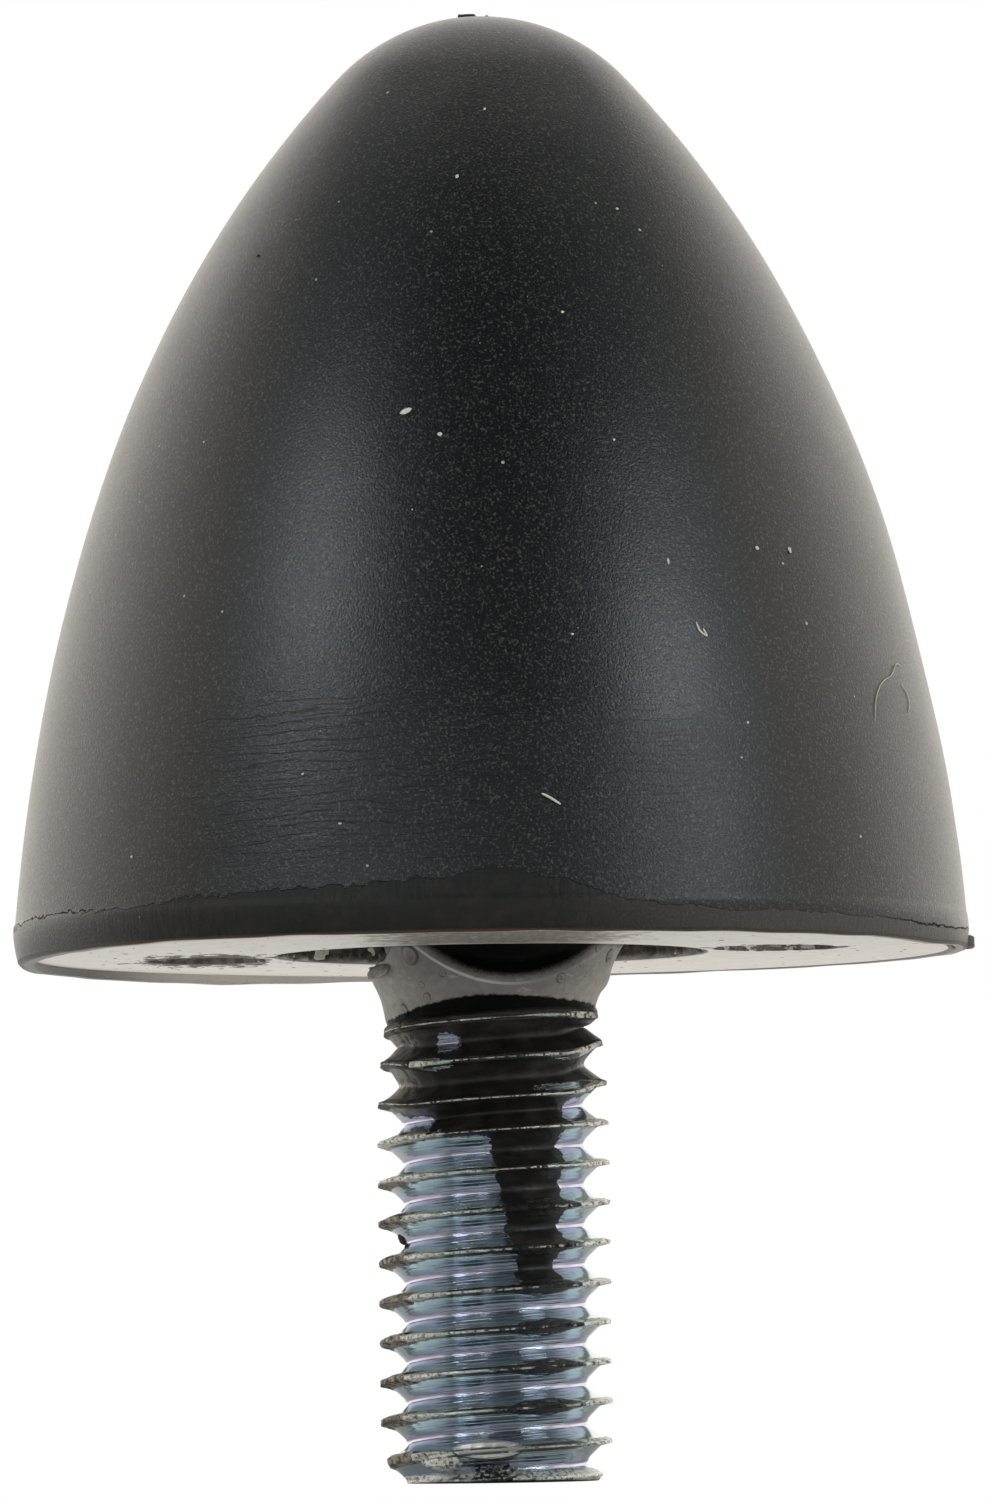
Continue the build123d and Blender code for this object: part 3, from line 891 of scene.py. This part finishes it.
def stud_material(settings):
    """Zinc plating that turns from green by the crests through teal to lilac in the roots, bright crumbling
    crests, clods of dirt, and a black film of rubber over the first turns that runs down one side. The film
    has bare patches, and its crests are worn through in a thin line. In front, where the lamps' highlights
    fall, the flutes carry painted highlight dashes and painted shade, and the roots are painted darker.
    Painted shadow lines run beside the worn crests and under the curled metal at the end."""
    material, shader, place, (x, y, z) = new_shader("zinc_steel")
    names = ("from_crest", "film", "clod", "bare", "crumbled", "curl", "flute_x", "flute_z", "grime")
    from_crest, film, clod, bare, crumbled, curl, flute_x, flute_z, lens = map(shader.attribute, names)
    facing = x.math("ARCTAN2", x, 0 - y) * math.degrees(1)
    fine = shader.noise(place, 5.0, 3, 0.65)
    coarse = shader.noise(place, 1.1, 3, 0.6)
    mottle = shader.noise(place, 3.2, 4, 0.7).rise(0.38, 0.62)
    fray, sway = fine - 0.5, coarse - 0.5

    # The flanks, fluted along the thread
    along = shader.vector(x * 0.1 + flute_x * 2.7, y * 0.1, flute_z * 2.7 + coarse * 0.35)
    flute = shader.noise(along, 1.0, 2, 0.55)
    streaked = facing.rise(-44, -26) * facing.rise(52, 38)
    root = from_crest * 2 + sway * 0.2
    tint = shader.blend(
        root,
        (0.1, (0.5, 0.6, 0.56)),
        (0.45, settings.zinc_colour),
        (0.8, (0.46, 0.51, 0.62)),
        (0.92, (0.45, 0.44, 0.58)),
        (1.02, (0.5, 0.4, 0.47)),
    )
    # lit: the two bands in front where the lamps' highlights fall on the thread. The painted highlight dashes
    # go in them, as a diffuse white.
    lit = abs(facing + 13 + sway * 16).rise(10, 4).at_least(abs(facing - 23).rise(9, 3))
    lit = lit * fine.rise(0.3, 0.42)
    painted_highlight_dash = shader.noise(along, 2.1, 1).rise(0.62, 0.67) * lit
    plating = shader.paint(
        tint,
        # In the streaked zone in front, the roots are painted darker and the flutes painted lighter and
        # darker than elsewhere: painted shade and painted highlight where the lamps' reflections fall.
        (root.rise(0.72, 0.95) * streaked * 0.25, (0.2, 0.21, 0.3)),
        (flute.rise(0.5, 0.62) * (0.12 + streaked * 0.6), (0.66, 0.72, 0.78)),
        (flute.rise(0.46, 0.36) * (0.08 + streaked * 0.3), (0.12, 0.145, 0.2)),
        # Painted shade between the highlight dashes.
        (flute.rise(0.45, 0.4) * lit * 0.8, (0.02, 0.027, 0.045)),
        (painted_highlight_dash, (0.9, 0.95, 1.0)),
    )

    # The worn crests and the torn end, with painted shadow lines beside the crests and along the lower edge
    # of the curled metal
    wide = facing.rise(-28, -46).at_least(facing.rise(50, 58)) * 0.06
    crest = (from_crest - wide + streaked * 0.018 + fray * (0.06 + streaked * 0.06)).rise(0.06, 0.035)
    rim = (z - x * 0.03 + fray * 0.35).rise(-20.68, -20.8)
    crest = crest.at_least(rim).at_least((crumbled + fray * 0.5).rise(0.0, 0.15))
    crumb = fine.rise(0.34, 0.55)
    smooth = (curl + fray * 0.3).rise(0.0, 0.1)
    steady = facing.rise(-28, -24).at_least(facing.rise(-46, -50)) * facing.rise(50, 46)
    steady = steady * facing.rise(-150, -110)
    # notch: a painted shadow line along the side of each worn crest.
    notch = abs(from_crest - wide - 0.062).rise(0.038, 0.016) * coarse.rise(0.38, 0.5) * steady
    curl_shadow_line = abs(curl - 0.12 + sway * 0.25).rise(0.07, 0.02) * z.rise(-19.8, -19.95)

    # Grime between the crests, a painted shadow under the curled metal at the end laid on in the grime's
    # colour, clods on the crests, and the film of rubber with what shows through it
    grime = (lens + sway * 0.14).rise(-0.01, 0.01) * z.rise(-20.2, -19.2) * z.rise(-8.4, -9.6)
    grime = grime * (1 - (from_crest + sway * 0.07).rise(0.03, 0.015) * facing.rise(3, -9))
    # Painted shadow under the curled metal at the end.
    curl_shadow = abs(facing + 2 + sway * 12).rise(17, 11) * z.rise(-20.3, -20.45)
    grime = grime.at_least(curl_shadow * fine.rise(0.62, 0.5))
    pale = flute.rise(0.52, 0.62) * fine.rise(0.42, 0.55) * coarse.rise(0.46, 0.54)
    clods = (clod + fray * 0.5).rise(0.3, 0.5)
    line = (from_crest - facing.rise(15, 45) * 0.06 + sway * 0.06 + fray * 0.05).rise(0.028, 0.012)
    line = line * abs(facing + 5).rise(110, 60) * fine.rise(0.36, 0.46)
    exposed = (bare + fray * 1.2).rise(0.05, 0.2).at_least(line)
    rubber = (film + fray * 0.5 + sway * 0.7).rise(-0.04, 0.04) * (1 - exposed)
    scuffed = (facing + sway * 40).rise(-46, -64) * facing.rise(-150, -100) * mottle.rise(0.1, 0.6)
    black = shader.mix(coarse.rise(0.4, 0.7), (0.009, 0.0085, 0.008), (0.03, 0.026, 0.023))
    colour = shader.paint(
        plating,
        (crest, shader.mix(crumb, (0.17, 0.155, 0.13), settings.crest_colour)),
        (smooth, (0.78, 0.77, 0.73)),
        # Painted shadow beside the crests and along the curl's lower edge.
        (notch.at_least(curl_shadow_line) * 0.85, (0.03, 0.027, 0.024)),
        (grime, shader.mix(pale, (0.014, 0.012, 0.011), (0.5, 0.48, 0.44))),
        (clods, shader.mix(mottle, (0.04, 0.03, 0.024), (0.4, 0.35, 0.29))),
        (rubber, shader.mix(scuffed * 0.8, black, (0.22, 0.195, 0.17))),
    )

    soft = (grime * 0.8 + clods).at_most(1.0).at_least(rubber).at_least(crest * crumb * 0.4)
    soft = soft.at_least(painted_highlight_dash * 0.9)
    roughness = 0.14 + crest.at_least(smooth) * 0.25 + clods * 0.35 + rubber * 0.24
    roughness = roughness + streaked * (flute.rise(0.6, 0.5) * 0.1 + root.rise(0.8, 0.95) * 0.04)
    normal = shader.bump(flute * (1 - soft) * (0.12 + streaked * 0.88), 0.12)
    normal = shader.bump(fine * (crest + clods + grime).at_most(1.0), 0.12, normal)
    normal = shader.bump(rubber, 0.06, shader.bump(coarse * rubber, 0.1, normal))
    finish = {"Metallic": 1 - soft, "Roughness": roughness, "Specular_Tint": (0.76, 0.77, 0.78)}
    shader.output(shader.principled(Base_Color=colour, Normal=normal, **finish))
    return material


def plain_material(name, colour, second, roughness):
    """A rough mottled surface of two colours."""
    material, shader, place, _ = new_shader(name)
    mottle = shader.noise(place, 3.0, 3, 0.6)
    tone = shader.mix(mottle.rise(0.3, 0.7), colour, second)
    shader.output(shader.principled(Base_Color=tone, Roughness=roughness, Normal=shader.bump(mottle, 0.03)))
    return material


class BuildPiece:
    """What the operators for the pieces share: each one builds its pieces from the settings."""

    bl_options = {"REGISTER", "UNDO"}

    def execute(self, context):
        self.build(context.scene.rubber_buffer)
        return {"FINISHED"}


class BUFFER_OT_dome(BuildPiece, bpy.types.Operator):
    """Build the outer skin of the dome, with its rim"""

    bl_idname = "buffer.dome"
    bl_label = "Dome"

    def build(self, settings):
        surface, marks = dome_surface()
        grid_object("dome_skin", "rubber_body", rubber_material(settings), [surface], marks)


class BUFFER_OT_moulding_marks(BuildPiece, bpy.types.Operator):
    """Build the nibs left on the tip of the dome and the scrap of flash on its rim"""

    bl_idname = "buffer.moulding_marks"
    bl_label = "Moulding marks"

    def build(self, settings):
        dark = plain_material("torn_rubber", (0.02, 0.016, 0.013), (0.07, 0.05, 0.038), 0.7)
        pale = plain_material("flash_rubber", (0.07, 0.06, 0.052), (0.19, 0.17, 0.15), 0.6)
        top = dome_height - 0.02
        large = lump_surface((-0.45, 0.0, top), np.diag([0.36, 0.3, 0.15]), 31, 0.5)
        horn = lump_surface((-0.79, 0.0, top), np.diag([0.05, 0.06, 0.17]), 34)
        small = lump_surface((0.33, 0.05, top), np.diag([0.1, 0.1, 0.11]), 32)
        grid_object("tip_nibs", "rubber_body", dark, [large, horn, small])
        flash = lump_surface((base_radius - 0.2, 0, 0.24), np.diag([0.47, 0.8, 0.27]), 33, 0.45, 0.12)
        grid_object("rim_flash", "rubber_body", pale, [flash])
        chip = lump_surface((-3.72, -0.35, -11.35), [(0.1, 0, 0.05), (0, 0.12, 0), (-0.1, 0, 0.24)], 36)
        spot = speck_surface(219.5, 27.5, 0.14, 0.12, 0)
        grid_object("rubber_crumbs", "rubber_body", dark, [chip, spot])


class BUFFER_OT_collar(BuildPiece, bpy.types.Operator):
    """Build the rubber in the recess, round the neck of the stud and in the key holes"""

    bl_idname = "buffer.collar"
    bl_label = "Collar"

    def build(self, settings):
        surface, marks = collar_surface()
        grid_object("collar", "rubber_body", collar_material(), [surface], marks)
        axes = [(0.4, -0.66, 0.08), (0.068, 0.042, 0), (0.06, 0, 0.27)]
        flap = lump_surface((-4.55, -1.98, -0.72), axes, 35, 0.8)
        pale = plain_material("torn_flap", (0.22, 0.205, 0.19), (0.42, 0.4, 0.37), 0.5)
        grid_object("collar_flap", "rubber_body", pale, [flap])
        plugs = [plug_surface(-1, 41), plug_surface(1, 43)]
        grid_object("key_hole_plugs", "rubber_body", plug_material(), plugs)


class BUFFER_OT_plate(BuildPiece, bpy.types.Operator):
    """Finish the base plate, which keeps its solid"""

    bl_idname = "buffer.plate"
    bl_label = "Base plate"

    def build(self, settings):
        material = plate_material(settings)
        for slot in frame["nodes"]["base_plate"].material_slots:
            slot.material = material


class BUFFER_OT_stud(BuildPiece, bpy.types.Operator):
    """Build the worn thread of the stud"""

    bl_idname = "buffer.stud"
    bl_label = "Threaded stud"

    def build(self, settings):
        surface, marks, rows = thread_surface()
        material = stud_material(settings)
        grid_object("worn_thread", "threaded_stud", material, [surface], marks, rows)


class BUFFER_OT_dust(BuildPiece, bpy.types.Operator):
    """Scatter the crumbs and threads of lint that lie on the dome"""

    bl_idname = "buffer.dust"
    bl_label = "Dust"

    def build(self, settings):
        crumbs = [speck_surface(*row) for row in specks]
        threads = [lint_surface(*row) for row in lint]
        material = plain_material("lint", (0.62, 0.6, 0.52), (0.75, 0.72, 0.58), 0.9)
        grid_object("dust_specks", "rubber_body", material, crumbs)
        grid_object("lint_threads", "rubber_body", material, threads)


# Camera, fitted to the photograph. Its frame is 987 by 1500 pixels.
frame_height = 1500
focal_pixels = 14456.6
sensor_size = 36.0  # millimetres, for the long side of the frame
camera_place = (0.208, -578.0, -28.117)  # millimetres
camera_pitch = 3.595  # degrees up from level
camera_roll = -0.761  # degrees

# Name, watts, width and height in metres, degrees from the camera's side, elevation, distance, colour
lamps = (
    ("left_lamp", 0.52, 0.14, 0.14, -50, 30, 0.5, (0.86, 0.94, 1.0)),
    ("right_lamp", 0.58, 0.14, 0.14, 50, 22, 0.5, (0.86, 0.94, 1.0)),
    ("left_strip", 0.2, 0.22, 0.03, -20, 4, 0.5, (0.9, 0.96, 1.0)),
    ("right_strip", 0.11, 0.14, 0.03, 48, 4, 0.5, (0.9, 0.96, 1.0)),
    ("top_lamp", 0.6, 0.5, 0.5, 180, 65, 0.6, (1.0, 0.96, 0.9)),
)


def seen_directly(shader):
    """1 where a camera or see-through ray looks, and 0 for the rest."""
    seen, through = [
        shader.node("ShaderNodeLightPath", output=f"Is {ray} Ray") for ray in ("Camera", "Transmission")
    ]
    return seen.at_least(through)


def add_floor():
    """A pale floor at the end of the stud. It can't be seen from below, where the camera stands.

    It carries a painted shadow that only the object's own rays see: dim under the object, and dark in front
    of it.
    """
    half = 1.5  # metres
    mesh = bpy.data.meshes.new("floor")
    corners = [(-half, -half), (half, -half), (half, half), (-half, half)]
    mesh.from_pydata([(x, y, stud_box[0].z) for x, y in corners], [], [(0, 1, 2, 3)])
    material, shader, _, (x, y, _) = new_shader("floor")
    # Painted shadow, seen only by the object's rays: dimmer within a few centimetres of the axis, and darker
    # in front.
    tone = shader.mix(((x * x + y * y) ** 0.5).rise(38, 18), (0.96, 0.94, 0.91), (0.68, 0.68, 0.67))
    tone = shader.mix(y.rise(-4, -30) * y.rise(-62, -46) * x.rise(40, 8), tone, (0.34, 0.34, 0.34))
    lit = shader.node("ShaderNodeBsdfDiffuse", None, {"Color": tone})
    white = shader.node("ShaderNodeBsdfDiffuse", None, {"Color": (0.9, 0.9, 0.9)})
    glow = shader.node("ShaderNodeEmission", None, {"Color": (1.0, 1.0, 1.0), "Strength": 0.35})
    bright = shader.node("ShaderNodeAddShader", None, {0: white, 1: glow})
    top = shader.choose(seen_directly(shader), lit, bright)
    below = shader.node("ShaderNodeNewGeometry", output="Backfacing")
    clear = shader.node("ShaderNodeBsdfTransparent")
    shader.output(shader.choose(below, top, clear))
    mesh.materials.append(material)
    floor = bpy.data.objects.new("floor", mesh)
    bpy.context.collection.objects.link(floor)


def light_world(scene):
    """A white sweep behind and beside the object and a dim room in front. Seen directly it is white."""
    world = bpy.data.worlds.new("studio")
    scene.world = world
    shader = Shader(world)
    across, back, up = shader.axes(shader.node("ShaderNodeTexCoord", output="Generated"))
    turn = back / (across * across + back * back + 0.0001) ** 0.5
    sweep = (turn + across * 0.04).rise(-0.42, -0.08) * up.rise(0.88, 0.4).at_least(0.15)
    sweep = sweep.at_least(up.rise(0.93, 0.99) * 0.16)
    room = 0.045 + turn.rise(-0.95, -0.5) * 0.13
    strength = room + sweep * (0.88 + turn.rise(0.0, 0.7) * 0.8)
    tint = shader.mix(sweep, (0.9, 0.96, 1.0), (1.0, 0.95, 0.88))
    direct = seen_directly(shader)
    colour = shader.mix(direct, tint, (1.0, 1.0, 1.0))
    light = {"Color": colour, "Strength": strength * (1 - direct) + direct}
    shader.output(shader.node("ShaderNodeBackground", None, light), "ShaderNodeOutputWorld")


def add_lamp(level, name, energy, width, height, azimuth, elevation, distance, colour):
    """A soft rectangular lamp that faces the object."""
    data = bpy.data.lights.new(name, "AREA")
    data.energy = energy * level
    data.shape = "RECTANGLE"
    data.size = width
    data.size_y = height
    data.color = colour
    lamp = bpy.data.objects.new(name, data)
    turn, rise = math.radians(azimuth), math.radians(elevation)
    lamp.location = (
        distance * math.sin(turn) * math.cos(rise),
        -distance * math.cos(turn) * math.cos(rise),
        distance * math.sin(rise),
    )
    lamp.rotation_euler = (math.pi / 2 - rise, 0, turn)
    lamp.visible_camera = False
    bpy.context.collection.objects.link(lamp)


def add_camera(scene):
    data = bpy.data.cameras.new("camera")
    data.sensor_width = sensor_size
    data.lens = focal_pixels / frame_height * sensor_size
    data.clip_start = 0.01
    data.clip_end = 20
    camera = bpy.data.objects.new("camera", data)
    scene.collection.objects.link(camera)
    upright = Euler((math.pi / 2 + math.radians(camera_pitch), 0, 0)).to_quaternion()
    camera.location = [value * MM for value in camera_place]
    camera.rotation_mode = "QUATERNION"
    camera.rotation_quaternion = upright @ Quaternion((0, 0, 1), math.radians(camera_roll))
    scene.camera = camera


class BUFFER_OT_stage(bpy.types.Operator):
    """Add the floor, the lamps, the white background and the camera"""

    bl_idname = "buffer.stage"
    bl_label = "Stage"

    def execute(self, context):
        add_floor()
        light_world(context.scene)
        for lamp in lamps:
            add_lamp(context.scene.rubber_buffer.lamp_level, *lamp)
        add_camera(context.scene)
        context.scene.view_settings.view_transform = "Standard"
        return {"FINISHED"}


class BUFFER_PT_panel(bpy.types.Panel):
    """Colours and depths of the buffer, and a button for each group of pieces"""

    bl_label = "Rubber buffer"
    bl_idname = "BUFFER_PT_panel"
    bl_space_type = "VIEW_3D"
    bl_region_type = "UI"
    bl_category = "Buffer"

    def draw(self, context):
        settings = context.scene.rubber_buffer
        for name in BufferSettings.__annotations__:
            self.layout.prop(settings, name)
        for operator in operators:
            self.layout.operator(operator.bl_idname)


operators = (
    BUFFER_OT_dome,
    BUFFER_OT_moulding_marks,
    BUFFER_OT_collar,
    BUFFER_OT_plate,
    BUFFER_OT_stud,
    BUFFER_OT_dust,
    BUFFER_OT_stage,
)
classes = (BufferSettings, *operators, BUFFER_PT_panel)


def register():
    for each in classes:
        bpy.utils.register_class(each)
    bpy.types.Scene.rubber_buffer = bpy.props.PointerProperty(type=BufferSettings)


def unregister():
    del bpy.types.Scene.rubber_buffer
    for each in reversed(classes):
        bpy.utils.unregister_class(each)


def main():
    register()
    bpy.ops.buffer.dome()
    bpy.ops.buffer.moulding_marks()
    bpy.ops.buffer.collar()
    bpy.ops.buffer.plate()
    bpy.ops.buffer.stud()
    bpy.ops.buffer.dust()
    bpy.ops.buffer.stage()


if __name__ == "__main__":
    main()
